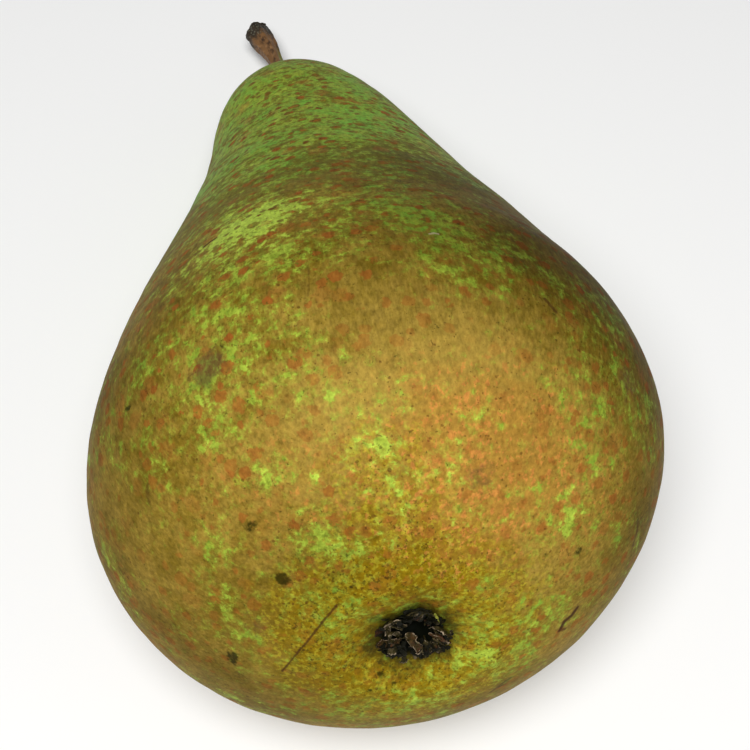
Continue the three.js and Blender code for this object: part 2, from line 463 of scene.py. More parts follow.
# A closed skin over rings of points whose first and last ring have shrunk to a point each
def ringMesh(name, rings):
    inner = rings[1:-1]
    rows, columns = inner.shape[:2]
    points = np.concatenate([inner.reshape(-1, 3), rings[0, :1], rings[-1, :1]])
    index = np.arange(rows * columns).reshape(rows, columns)
    beside = np.roll(index, -1, axis=1)
    quads = np.stack([index[:-1], index[1:], beside[1:], beside[:-1]], -1).reshape(-1, 4).tolist()
    first, last = rows * columns, rows * columns + 1
    quads += [(first, a, b) for a, b in zip(index[0].tolist(), beside[0].tolist())]
    quads += [(last, b, a) for a, b in zip(index[-1].tolist(), beside[-1].tolist())]
    mesh = bpy.data.meshes.new(name)
    mesh.from_pydata(points.tolist(), [], quads)
    mesh.shade_smooth()
    if holdsVolume(mesh) < 0:
        mesh.flip_normals()
    return mesh


# Six times the volume, negative where the faces look inwards
def holdsVolume(mesh):
    points = getPoints(mesh)
    corners = [[f.vertices[0], f.vertices[k], f.vertices[k + 1]] for f in mesh.polygons
               for k in range(1, len(f.vertices) - 1)]
    a, b, c = (points[np.array(corners)[:, k]] for k in range(3))
    return float((a * np.cross(b, c)).sum())


def getVectors(data, kind):
    values = np.empty(len(data) * 3)
    data.foreach_get(kind, values)
    return values.reshape(-1, 3)


def getPoints(mesh):
    return getVectors(mesh.vertices, "co")


def setPoints(mesh, points):
    mesh.vertices.foreach_set("co", np.ascontiguousarray(points, float).ravel())
    mesh.update()


def keepNumbers(mesh, name, values):
    values = np.asarray(values, float)
    kind = "FLOAT" if values.ndim == 1 else "FLOAT_VECTOR"
    data = mesh.attributes.new(name, kind, "POINT").data
    data.foreach_set("value" if kind == "FLOAT" else "vector", values.ravel())


def noiseOver(points, size, octaves=3, seed=0.0):
    shift = Vector((seed, 2.3 * seed, -1.7 * seed))
    return np.array([noise.fractal(Vector(p) / size + shift, 1.0, 2.0, octaves) for p in points])


def noiseShift(points, size, octaves, seed, step=1):
    return np.stack([noiseOver(points, size, octaves, seed + step * k) for k in range(3)], 1)


def addPiece(mesh, name, node):
    piece = addToScene(bpy.data.objects.new(name, mesh))
    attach(piece, "root")
    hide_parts(node)


# Rings along a line: each is turned square to the line and keeps its twist from the last
def sweep(line, firstSide, ringAt):
    line = np.asarray(line, float)
    along = np.gradient(line, axis=0)
    along /= np.linalg.norm(along, axis=1)[:, None]
    side = np.asarray(firstSide, float)
    swept = []
    for i, place in enumerate(line):
        side = side - along[i] * (side @ along[i])
        side = side / np.linalg.norm(side)
        ring = ringAt(i / (len(line) - 1))
        swept.append(place + ring[:, :1] * side + ring[:, 1:] * np.cross(along[i], side))
    return np.array(swept)


# A smooth line through a few points
def smoothLine(points, steps):
    points = np.asarray(points, float)
    padded = np.concatenate([[2 * points[0] - points[1]], points, [2 * points[-1] - points[-2]]])
    spans = len(points) - 1
    at = np.linspace(0, spans, steps + 1)
    first = np.minimum(at.astype(int), spans - 1)
    t = (at - first)[:, None]
    a, b, c, d = (padded[first + k] for k in range(4))
    bends = 2 * a - 5 * b + 4 * c - d
    return 0.5 * (2 * b + (c - a) * t + bends * t**2 + (3 * b - 3 * c + d - a) * t**3)


def smoothstep(values, start, end):
    t = np.clip((values - start) / (end - start), 0, 1)
    return t * t * (3 - 2 * t)


def raisedTree(mesh):
    return BVHTree.FromPolygons([v.co for v in mesh.vertices], [p.vertices for p in mesh.polygons])


def photoRay(across, down):
    half = view["photoSize"] / 2
    spread = view["sensor"] / view["lens"] / view["photoSize"]
    direction = Vector(((across - half) * spread, (half - down) * spread, -1))
    return camera.location, (camera.matrix_world.to_3x3() @ direction).normalized()


def standUp(points):
    return tipped(np.asarray(points, float) / mm - lieShift, -lieTilt)


# Where a point of the photo falls on the skin, in the fruit's own frame.
# A place just off the edge moves in to it.
def placeOnSkin(across, down):
    middle = view["photoSize"] / 2
    hit = None
    while hit is None:
        hit, _, face, _ = skinTree.ray_cast(*photoRay(across, down))
        across += view["edgeStep"] * (middle - across)
        down += view["edgeStep"] * (middle - down)
    corners = list(fruitMesh.polygons[face].vertices)
    sunk = skinGrown[corners] - standUp([fruitMesh.vertices[k].co for k in corners])
    return standUp(hit) + sunk.mean(0)


# Adds up soft round patches, each a place in the photo, a radius in mm and a strength
def patchwork(grown, places):
    total = np.zeros(len(grown))
    for across, down, radius, strength in places.values():
        away = np.linalg.norm(grown - placeOnSkin(across, down), axis=1)
        total += strength * np.exp(-((away / radius) ** 2))
    return total


# Fruit

def makeFruitMesh(s):
    mesh = ringMesh("pearFruit", rings)
    grown = getPoints(mesh)
    radius = np.hypot(grown[:, 0] - s["basinOffset"], grown[:, 2])
    angle = np.arctan2(grown[:, 2], grown[:, 0] - s["basinOffset"])
    atCalyx = grown[:, 1] < s["bellyAt"]
    folded = np.exp(-(((radius - s["foldsAt"]) / s["foldsReach"]) ** 2)) * atCalyx
    folds = s["foldHeight"] * folded * np.cos(s["folds"] * angle + s["foldsWander"] * np.sin(3 * angle))
    swell = s["swellHeight"] * np.clip(noiseOver(grown, s["swellSize"], 2), -1, 1)
    dimples = s["dimpleHeight"] * np.clip(noiseOver(grown, s["dimpleSize"], 2, 7), -1, 1)
    lift = folds + swell + dimples - s["skinInset"]
    fromCore = np.maximum(np.hypot(grown[:, 0], grown[:, 2]), 0.1)
    for place, reach, rise, side in s["fuller"].values():
        sideways = smoothstep(side * grown[:, 0] / fromCore, *s["fullerAcross"])
        upwards = smoothstep(grown[:, 2] / fromCore, *s["fullerUpwards"])
        lift += rise * np.exp(-(((grown[:, 1] - place) / reach) ** 2)) * sideways * upwards
    raised = grown + getVectors(mesh.vertices, "normal") * lift[:, None]
    edge = s["hollowRadius"] * (1 + waves(angle, s["hollowWaves"]))
    raised[:, 1] += atCalyx * s["hollowDepth"] * smoothstep(edge - radius, 0, s["hollowWall"])
    laid = layDown(raised)
    blend = s["pressBlend"]
    z = laid[:, 2]
    laid[:, 2] = np.where(z <= -blend, 0, np.where(z < blend, (z + blend) ** 2 / (4 * blend), z))
    setPoints(mesh, laid * mm)
    keepNumbers(mesh, "grown", grown)
    return mesh


def distanceFromSolid(mesh, node):
    tree = raisedTree(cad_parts[node].data)
    points = getPoints(mesh)[::37]
    return max(tree.find_nearest(Vector(p))[3] for p in points) / mm


# Places are across and down in the photo, then a radius in mm and a strength
skinLook = {
    "driftSizes": (11, 9, 15),  # mm, of three slow changes over the fruit
    "openBase": 0.28,  # how far the russet lets the green through: 0 nowhere, 1 everywhere
    "openDrift": 0.12,
    "openAtNeck": 0.50,
    "neckFrom": 38.0,  # mm from the calyx end
    "neckTo": 84.0,
    "neckDrift": (12.0, 7.2),
    "open": {
        "neckRight": (400, 115, 8, -0.10),
        "neckBand": (300, 160, 6, -0.05),
        "neckSide": (237, 165, 7, 0.10),
        "neckBright": (330, 112, 6, 0.14),
        "neckBrightLeft": (285, 125, 5, 0.10),
        "limePatch": (248, 226, 4.2, 0.66),
        "limePatchTop": (277, 208, 3.0, 0.40),
        "limePatchTail": (212, 258, 3.6, 0.34),
        "flankHigh": (228, 280, 6, 0.20),
        "flankNet": (240, 335, 6, 0.10),
        "flankMiddle": (258, 388, 6, 0.16),
        "flankLow": (213, 455, 5, 0.22),
        "flankEdge": (160, 335, 8, 0.14),
        "shoulder": (400, 215, 9, 0.26),
        "shoulderBand": (340, 180, 6, 0.14),
        "shoulderLow": (440, 262, 6, 0.12),
        "belowLime": (300, 250, 5, 0.12),
        "shoulderRight": (510, 275, 7, 0.18),
        "bellyFleck": (355, 340, 2.5, 0.16),
        "bellyStreak": (356, 415, 2.2, 0.12),
        "bellyStreakLow": (386, 435, 2.6, 0.12),
        "bellyNet": (402, 488, 4.0, 0.18),
        "brightPatch": (320, 540, 2.3, 0.46),
        "brightPatchRight": (366, 548, 3.0, 0.10),
        "brightPatchLeft": (272, 545, 2.6, 0.10),
        "rightFleck": (570, 522, 1.8, 0.42),
        "rightNet": (590, 500, 5, 0.04),
        "rightEdge": (600, 340, 8, 0.08),
        "farRightEdge": (640, 420, 6, 0.10),
        "rightUnder": (638, 530, 5, -0.20),
        "lowRight": (520, 640, 7, 0.14),
        "lowMiddle": (440, 690, 7, 0.16),
        "bottom": (345, 712, 8, 0.14),
        "calyxLeft": (362, 622, 5, 0.14),
        "calyxRight": (485, 625, 5, 0.14),
        "lowLeft": (222, 602, 1.8, 0.20),
        "lowLeftFleck": (220, 556, 2.4, 0.16),
        "lowLeftBare": (190, 590, 5, -0.08),
        "belowLeft": (290, 600, 6, 0.08),
        "tanShoulder": (335, 290, 6, -0.22),
        "tanBelly": (455, 350, 9, -0.26),
        "tanBellyLeft": (300, 430, 4, -0.10),
        "tanRight": (500, 560, 5, -0.14),
        "tanFlank": (165, 510, 7, -0.10),
        "tanLow": (280, 630, 5, -0.12),
        "aboveCalyx": (430, 560, 5, -0.16),
    },
    "greenBase": 0.54,  # 0 is deep green, 0.5 lime, 1 pale lime
    "greenAtNeck": -0.2,
    "greenDrift": 0.14,
    "green": {
        "neckCrown": (265, 82, 9, 0.10),
        "neckRight": (420, 190, 14, -0.10),
        "limePatch": (250, 224, 8, 0.52),
        "flank": (240, 400, 10, 0.06),
        "bellyNet": (392, 455, 8, 0.34),
        "brightPatch": (322, 540, 5, 0.10),
        "rightFleck": (575, 510, 6, 0.05),
        "rightEdge": (610, 350, 14, -0.04),
    },
    "tanBase": 0.42,  # 0 is olive-ochre russet, 1 tan
    "tanDrift": 0.2,
    "tan": {
        "neck": (320, 130, 22, -0.30),
        "leftFlank": (170, 360, 14, -0.12),
        "centre": (350, 400, 12, 0.40),
        "rightBelly": (500, 430, 15, 0.46),
        "rightFlank": (570, 290, 14, -0.30),
        "bottom": (350, 690, 12, -0.22),
        "shoulder": (330, 285, 7, 0.06),
        "aboveBelly": (380, 285, 9, -0.12),
    },
    "orangeDrift": 0.3,
    "orange": {
        "rightBelly": (520, 455, 10, 0.80),
        "bellyMiddle": (440, 440, 8, 0.60),
        "belowLeft": (310, 520, 7, 0.30),
        "bellyLow": (450, 530, 7, 0.40),
        "leftBelly": (240, 470, 10, 0.24),
        "rightEdge": (610, 500, 8, 0.35),
    },
    "goldRing": (7.0, 7.5, 0.75),  # mm from the calyx, its width and strength
    "gold": {
        "belowBelly": (370, 560, 8, 0.32),
        "leftOfCalyx": (330, 640, 7, 0.30),
        "bellyMiddle": (385, 455, 6, 0.40),
    },
    "freckledBase": 0.8,
    "freckledDrift": 0.2,
    "freckled": {
        "leftFlank": (230, 380, 12, 0.2),
        "centre": (350, 400, 9, -0.45),
        "rightBelly": (500, 400, 13, -0.45),
        "calyx": (400, 620, 13, -0.55),
        "lowLeft": (160, 530, 12, -0.4),
        "limePatch": (250, 222, 7, 0.5),
        "neck": (300, 120, 18, 0.3),
        "belowLeft": (310, 520, 6, 0.3),
    },
    # Painted shade: a darker right flank, neck side, edges and underside where the light falls off, and a
    # dark patch above the calyx's hollow
    "shade": {
        "lowLeftEdge": (175, 640, 9, 0.28),
        "leftUnder": (110, 540, 8, 0.22),
        "bottomEdge": (300, 705, 9, 0.34),
        "bottomRight": (450, 715, 9, 0.20),
        "rightUnder": (640, 520, 8, 0.34),
        "rightFlank": (575, 270, 13, 0.78),
        "neckRight": (440, 175, 12, 0.55),
        "rightShoulder": (470, 240, 10, 0.30),
        "shoulder": (390, 220, 8, 0.16),
        "neckBand": (320, 165, 7, 0.12),
        "aboveBelly": (380, 285, 7, 0.14),
        "below": (330, 545, 8, 0.30),
        "leftEdge": (105, 420, 10, 0.40),
        "rightEdge": (655, 410, 8, 0.35),
        "darkBelly": (300, 620, 9, 0.14),
        "calyxTop": (420, 601, 3.4, 0.40),
    },
    "blots": {
        "ovalSpot": (282, 579, 0.85, 1.0),
        "doubleSpot": (231, 653, 0.9, 0.9),
        "doubleSpotLow": (234, 661, 0.7, 0.6),
        "faintSpot": (251, 527, 0.9, 0.6),
        "flankMarkHigh": (129, 407, 0.8, 0.6),
        "darkSpot": (222, 342, 0.6, 0.75),
        "lowRightMark": (578, 552, 0.7, 0.75),
        "lowScarBed": (503, 685, 0.9, 0.5),
        "speckBelow": (380, 674, 0.5, 0.85),
        "speckBelowLow": (394, 683, 0.45, 0.8),
        "speckBelowLeft": (370, 690, 0.4, 0.6),
        "speckLeft": (364, 655, 0.5, 0.65),
    },
    "smudges": {
        "greySmudge": (210, 365, 1.9, 0.9),
        "smudgeBelow": (201, 378, 1.3, 0.5),
        "farSmudge": (628, 384, 2.0, 0.6),
        "palePatch": (480, 475, 2.0, 0.5),
        "lowSmudge": (256, 628, 1.8, 0.45),
        "bellySmudge": (404, 470, 1.2, 0.4),
    },
    # Places along each scratch, its half width in mm and its strength
    "scratches": {
        "longScratch": ([(337, 605), (323, 621), (311, 637), (299, 651), (282, 671)], 0.13, 0.80),
        "flankScratch": ([(204, 247), (210, 242), (216, 238)], 0.18, 1.0),
        "flankMark": ([(148, 485), (147, 493), (149, 501)], 0.24, 0.45),
        "rightMark": ([(545, 299), (550, 305), (556, 312)], 0.22, 0.65),
        "edgeMark": ([(638, 520), (637, 532), (633, 545)], 0.22, 0.55),
        "shoulderScratch": ([(308, 266), (309, 280), (308, 296)], 0.12, 0.32),
        "rightScar": ([(577, 608), (572, 615), (564, 622), (560, 630)], 0.32, 0.95),
        "rightScarHook": ([(560, 630), (565, 629)], 0.24, 0.7),
        "lowScar": ([(491, 692), (500, 685), (510, 678)], 0.30, 0.55),
    },
    "paleScratches": {
        "shoulderTick": ([(430, 234), (434, 233), (438, 234)], 0.14, 0.6),
    },
    "bellyStretch": (1, 0.28, 1),  # the grain runs along the belly
    "neckStretch": (0.42, 1.3, 0.42),  # and round the neck
    "neckMarks": (45, 70),  # mm from the calyx end, where marks turn to run round
    "neckDarkens": (38, 58),
    # Sizes in mm of the noises
    "sizes": {
        "broad": 6.0, "middle": 2.0, "small": 0.85, "grain": 0.28, "streak": 0.5,
        "fleck": 0.55, "patch": 1.15, "speck": 0.42,
    },
    "greenWander": 0.7,
    "scratchWander": 0.25,
    # Marks: mm between them, their radius, and how far a noise moves them about
    "marks": {
        "freckle": (1.95, 0.72, 1.1),
        "blotch": (4.2, 1.15, 1.8),
        "dot": (1.5, 0.46, 0.5),  # small and crisp, where the skin is green
        "prick": (0.95, 0.076, 0.4),
    },
    "frecklePresence": 0.76,
    # From deep green over lime to pale lime
    "greens": [(0.1, (118, 176, 56)), (0.5, (142, 160, 50)), (0.95, (182, 208, 74))],
    "veil": 0.42,  # green that shimmers through the russet
    "break": 0.86,
    "olive": (112, 92, 22),
    "tanTone": (164, 136, 58),
    "freckleTone": (150, 86, 34),
    "freckleOnGreen": (106, 72, 24),
    "dashTone": (84, 66, 12),
    "dashOnGreen": (62, 72, 14),
    "dashCover": (0.5, 0.15),  # and how much more at the neck
    # Coats: each one's colour, and how strongly it covers what lies below
    "coats": {
        "orange": ((166, 118, 46), 0.6),
        "gold": ((136, 110, 14), 1.0),
        "neck": ((105, 101, 26), 0.75),
        "orangeBlot": ((198, 130, 62), 0.75),
        "yellowFleck": ((178, 166, 44), 0.55),
        "blotch": ((156, 90, 40), 0.42),
        "dot": ((106, 72, 24), 0.72),
        "prick": ((84, 52, 20), 0.6),
        "speck": ((48, 44, 14), 0.55),
        # painted shade, multiplied over the skin's colour
        "shade": ((120, 116, 92), 0.9),
        "smudge": ((86, 60, 40), 0.7),
        "blot": ((38, 36, 6), 0.88),
        "scratches": ((66, 38, 18), 1.0),
        "paleScratches": ((176, 160, 134), 1.0),
        # round the calyx: stain with painted shade of the basin, then the hollow's floor darkened by
        # painted shade
        "calyxStainAndShade": ((36, 38, 14), 0.8),
        "hollowDarkAndShade": ((12, 14, 8), 1.0),
    },
    "calyxFloor": (2.7, 3.6),  # mm from the calyx's middle
    "calyxHalo": (3.6, 6.4),
    "roughness": 0.5,
    "reflection": 0.3,
    "bending": 1.09,
}


def addSkinNumbers(mesh, look, s):
    grown = getVectors(mesh.attributes["grown"].data, "vector")
    aside = np.hypot(grown[:, 0] - s["basinOffset"], grown[:, 2])
    atCalyx = grown[:, 1] < s["bellyAt"]
    fromCalyx = np.where(atCalyx, np.hypot(aside, 0.7 * grown[:, 1]), 99)
    drift = [np.clip(noiseOver(grown, size, 2, 10 * k + 3), -1, 1)
             for k, size in enumerate(look["driftSizes"])]
    neckStart = look["neckFrom"] + look["neckDrift"][0] * drift[1] + look["neckDrift"][1] * drift[2]
    neck = smoothstep(grown[:, 1] - neckStart, 0, look["neckTo"] - look["neckFrom"])
    middle, width, strength = look["goldRing"]
    levels = {
        "open": look["openBase"] + look["openDrift"] * drift[0] + look["openAtNeck"] * neck,
        "green": look["greenBase"] + look["greenDrift"] * drift[1] + look["greenAtNeck"] * neck,
        "tan": look["tanBase"] + look["tanDrift"] * drift[2],
        "orange": look["orangeDrift"] * np.maximum(drift[1], 0),
        "gold": strength * np.exp(-(((fromCalyx - middle) / width) ** 2)),
        "freckled": look["freckledBase"] + look["freckledDrift"] * drift[0],
        "shade": 0,
        "blots": 0,
        "smudges": 0,
    }
    limits = {"freckled": (0.15, 1), "shade": (0, 0.8)}
    for name, level in levels.items():
        numbers = level + patchwork(grown, look[name])
        keepNumbers(mesh, name, np.clip(numbers, *limits.get(name, (-np.inf, np.inf))))
    keepNumbers(mesh, "fromCalyx", np.where(atCalyx, aside, 40))


# How near a point is to a straight piece of a scratch: 1 on its line, 0 beyond its width
def scratchPiece(paint, place, first, last, width):
    a, b = placeOnSkin(*first), placeOnSkin(*last)
    length = float(np.linalg.norm(b - a))
    direction = tuple((b - a) / length)
    offset = paint.vector("SUBTRACT", place, tuple(a))
    along = paint.vector("DOT_PRODUCT", offset, direction, output="Value")
    reach = paint.maths("MINIMUM", paint.maths("MAXIMUM", along, 0), length)
    foot = paint.node("ShaderNodeVectorMath", {"operation": "SCALE"}, {0: direction, "Scale": reach})
    away = paint.vector("DISTANCE", offset, foot, output="Value")
    return 1 - paint.fade(away, 0.4 * width, 1.6 * width)


def scratchShare(paint, place, scratches):
    share = 0
    for places, width, strength in scratches.values():
        for first, last in zip(places, places[1:]):
            line = scratchPiece(paint, place, first, last, width) * strength
            share = paint.maths("MAXIMUM", share, line)
    return share


def pearSkin(look):
    paint = Paint("pearSkin")
    sizes, coats = look["sizes"], look["coats"]
    place = paint.attribute("grown", "Vector")
    tan, orange, gold, freckled = (paint.attribute(n, "Fac") for n in ("tan", "orange", "gold", "freckled"))
    broadTan, broadOpen, broadPrick = paint.fields(place, sizes["broad"], 3)
    middleTan, middleOrange, middleGreen = paint.fields(place, sizes["middle"], 4, 0.6)
    wobble = paint.fields(place, sizes["small"], 3, 0.6)
    smallOrange, smallYellow, smallDark = wobble
    drawnOut = paint.vector("MULTIPLY", place, look["bellyStretch"])
    grain, fineHue, fineRough = paint.fields(drawnOut, sizes["grain"], 4, 0.7)
    streak, streakHue, _ = paint.fields(drawnOut, sizes["streak"], 2, 0.5)
    fleck, bellyDash, _ = paint.fields(place, sizes["fleck"], 3, 0.6)
    drawnRound = paint.vector("MULTIPLY", place, look["neckStretch"])
    neckDash = paint.noise(drawnRound, sizes["fleck"], 3, 0.6)
    height = paint.node("ShaderNodeSeparateXYZ", {}, {0: place}, "Y")
    atNeck = paint.fade(height, *look["neckMarks"])
    dash = bellyDash + (neckDash - bellyDash) * atNeck

    # How far the nearest mark of a kind is away, and how far it reaches, in shares of their spacing
    def nearest(kind):
        spacing, radius, wander = look["marks"][kind]
        return paint.cells(paint.shift(place, wobble, wander), spacing), radius / spacing

    # Russet, from olive to tan, with warmer and yellower parts
    tanShare = tan + broadTan.sway(0.8) + middleTan.sway(0.9) + fineHue.sway(0.9)
    russet = paint.mix(paint.fade(tanShare, 0, 1), look["olive"], look["tanTone"])
    russet = paint.lay(russet, paint.fade(orange + middleOrange.sway(1.4), 0.2, 1), coats["orange"])
    russet = paint.lay(russet, paint.fade(gold + middleGreen.sway(1.2), 0.1, 0.9), coats["gold"])
    russet = paint.lay(russet, paint.fade(height, *look["neckDarkens"]), coats["neck"])
    blot = paint.fade(smallOrange + orange * 0.06 + streakHue.sway(0.9), 0.61, 0.73)
    russet = paint.lay(russet, blot * paint.fade(orange, 0.1, 0.7), coats["orangeBlot"])
    yellow = paint.fade(fleck + smallYellow.sway(0.4), 0.50, 0.62)
    russet = paint.lay(russet, yellow * paint.fade(gold, 0.05, 0.5), coats["yellowFleck"])

    # Green shows through the russet in ragged breaks, which keep away from the freckles
    freckleAway, freckleReach = nearest("freckle")
    patchy = paint.noise(paint.shift(place, wobble, look["greenWander"]), sizes["patch"], 5, 0.64)
    cover = paint.attribute("open", "Fac") + patchy.sway(2.3) + broadOpen.sway(1.2)
    cover = cover + freckleAway.sway(0.3) + fineHue.sway(0.25)
    breaks = paint.fade(cover, 0.61, 0.70)
    greenShare = paint.attribute("green", "Fac") + middleGreen.sway(1.1) + smallYellow.sway(0.7)
    greenShare = greenShare + fineHue.sway(0.5)
    green = paint.node("ShaderNodeValToRGB", {"stops": look["greens"]}, {"Fac": greenShare}, "Color")
    colour = paint.mix(paint.fade(cover, 0.25, 0.70) * look["veil"], russet, green)
    colour = paint.mix(breaks * look["break"], colour, green)

    # Soft blotches, dashes, freckles and dots, darker where the skin is green
    blotchAway, blotchReach = nearest("blotch")
    blotch = paint.fade(broadPrick.sway(0.5) + blotchReach - blotchAway, -0.03, 0.09) * freckled
    colour = paint.lay(colour, blotch, coats["blotch"])
    dashes = paint.fade(dash + smallDark.sway(0.3), 0.54, 0.68) * freckled
    atLeast, more = look["dashCover"]
    dashColour = paint.mix(breaks, look["dashTone"], look["dashOnGreen"])
    colour = paint.mix(dashes * (atLeast + atNeck * more), colour, dashColour)
    chance, spread, tone = paint.parts(freckleAway.out("Color"))
    least = 1 - look["frecklePresence"]
    present = paint.fade(chance, least - 0.08, least + 0.08)
    freckleReach = (spread * 0.7 + 0.55) * freckleReach
    freckle = paint.fade(freckleReach - freckleAway, -0.01, 0.10) * present * freckled
    freckleColour = paint.mix(breaks, look["freckleTone"], look["freckleOnGreen"])
    colour = paint.mix(freckle * (0.66 + tone * 0.34), colour, freckleColour)
    dotAway, dotReach = nearest("dot")
    dots = paint.fade(smallOrange.sway(0.4) + dotReach - dotAway, -0.02, 0.08) * breaks * freckled
    colour = paint.lay(colour, dots, coats["dot"])

    # Pinpricks, more of them by the calyx and on the warm side of the belly
    prickAway, prickReach = nearest("prick")
    prickReach = smallDark.sway(0.5) + prickReach + paint.fade(gold, 0.2, 0.8) * 0.04
    often = paint.fade(broadPrick + orange * 0.12 + gold * 0.08, 0.50, 0.62)
    colour = paint.lay(colour, (1 - paint.fade(prickAway - prickReach, 0, 0.1)) * often, coats["prick"])
    speck = paint.noise(place, sizes["speck"], 2, 0.6) + paint.fade(gold, 0.2, 0.9) * 0.07
    colour = paint.lay(colour, paint.fade(speck + broadPrick.sway(0.2), 0.66, 0.72), coats["speck"])

    # Fine grain, drawn out along the fruit
    light = 1 + grain.sway(0.7) + streak.sway(1.0) + smallDark.sway(0.4)
    light = light + (neckDash.sway(0.8) + 0.05) * atNeck
    colour = paint.mix(1.0, colour, paint.grey(light), "MULTIPLY")

    # Painted shade on the flanks, edges and underside, then smudges, blots and scratches
    colour = paint.lay(colour, paint.attribute("shade", "Fac"), coats["shade"], "MULTIPLY")
    smudge = paint.fade(paint.attribute("smudges", "Fac") + smallDark.sway(1.2), 0.15, 0.75)
    colour = paint.lay(colour, smudge, coats["smudge"])
    blotted = paint.fade(paint.attribute("blots", "Fac") + smallDark.sway(1.6), 0.30, 0.75)
    colour = paint.lay(colour, blotted, coats["blot"])
    scratchedPlace = paint.shift(place, wobble, look["scratchWander"])
    for marks in ("scratches", "paleScratches"):
        colour = paint.lay(colour, scratchShare(paint, scratchedPlace, look[marks]), coats[marks])

    # Dark halo round the calyx, partly stain and partly painted shade of its basin, and the floor of its
    # hollow, its own dark colour deepened to near black by painted shade
    fromCalyx = paint.attribute("fromCalyx", "Fac")
    halo = 1 - paint.fade(fromCalyx + middleTan.sway(5) + smallDark.sway(3), *look["calyxHalo"])
    colour = paint.lay(colour, halo, coats["calyxStainAndShade"])
    colour = paint.lay(colour, 1 - paint.fade(fromCalyx, *look["calyxFloor"]), coats["hollowDarkAndShade"])

    bump = paint.bump(grain * 0.6 + fineRough * 0.4 + freckle * 0.7, 0.45, 0.05)
    roughness = look["roughness"] + fineRough.sway(0.15) + freckle * 0.08 - breaks * 0.05
    return paint.finish(Base_Color=colour, Roughness=roughness, Normal=bump,
                        Specular_IOR_Level=look["reflection"], IOR=look["bending"])


print("Fruit: mesh")
fruitMesh = makeFruitMesh(fruitShape)
print("  farthest from the solid: %.2f mm" % distanceFromSolid(fruitMesh, "fruit"))
skinTree = raisedTree(fruitMesh)
skinGrown = getVectors(fruitMesh.attributes["grown"].data, "vector")
addPiece(fruitMesh, "pearFruit", "fruit")
print("Fruit: skin")
addSkinNumbers(fruitMesh, skinLook, fruitShape)
fruitMesh.materials.append(pearSkin(skinLook))


# Stem

stemShape = {
    "rootDepth": 3.0,
    "reach": 19.4,
    "lean": 3.4,
    "lift": 1.8,
    # Where its line passes, in shares of its reach, lean and lift
    "bends": [(0, 0, 0), (0.36, 0.16, 0.25), (0.7, 0.5, 0.6), (1, 1, 1)],
    "radius": 1.14,
    "collar": 0.3,
    "collarReach": 0.1,  # of its length, as for the next ones
    "knob": 0.85,
    "knobFrom": 0.55,
    "knobWidest": 0.95,
    "knobRounding": 0.2,  # the share of the knob that its end loses again
    "flare": 0.35,  # how far the end swings out to its short side
    "flareFrom": 0.5,
    "ribs": 5,
    "ribHeight": 0.09,
    "ribTwist": 2,  # radians from end to end
    "fineRibs": 11,
    "fineRibHeight": 0.03,
    "fineRibTwist": -3,
    "slant": -0.35,  # of the break at its end
    "slantFrom": 0.82,
    "breakRings": (0.93, 0.8, 0.6, 0.35, 0),  # how wide each one is, from the edge inwards
    "breakHollow": 5,  # its depth, in steps along the stem
    "gnarl": 0.12,
    "gnarlSize": 0.9,
    "gnarlStretch": (1, 0.35, 1),
    "endLength": 2.5,
    "endGnarl": 1.2,  # how much more gnarled the end is
    "stepsAround": 72,
    "stepsAlong": 150,
    "fibreStretch": (1, 0.22, 1),
    "fibreSize": 0.5,
    "mottleSize": 1.5,
    "ashSize": 0.35,
    "bark": (118, 84, 50),
    "barkDark": (58, 40, 26),
    "barkLight": ((160, 122, 82), 0.6),  # and how strongly it covers
    "barkGreen": ((120, 128, 50), 0.8),
    "endBlack": (34, 32, 26),
    "endGrey": (104, 104, 88),
    "roughness": 0.62,
    "reflection": 0.3,
}


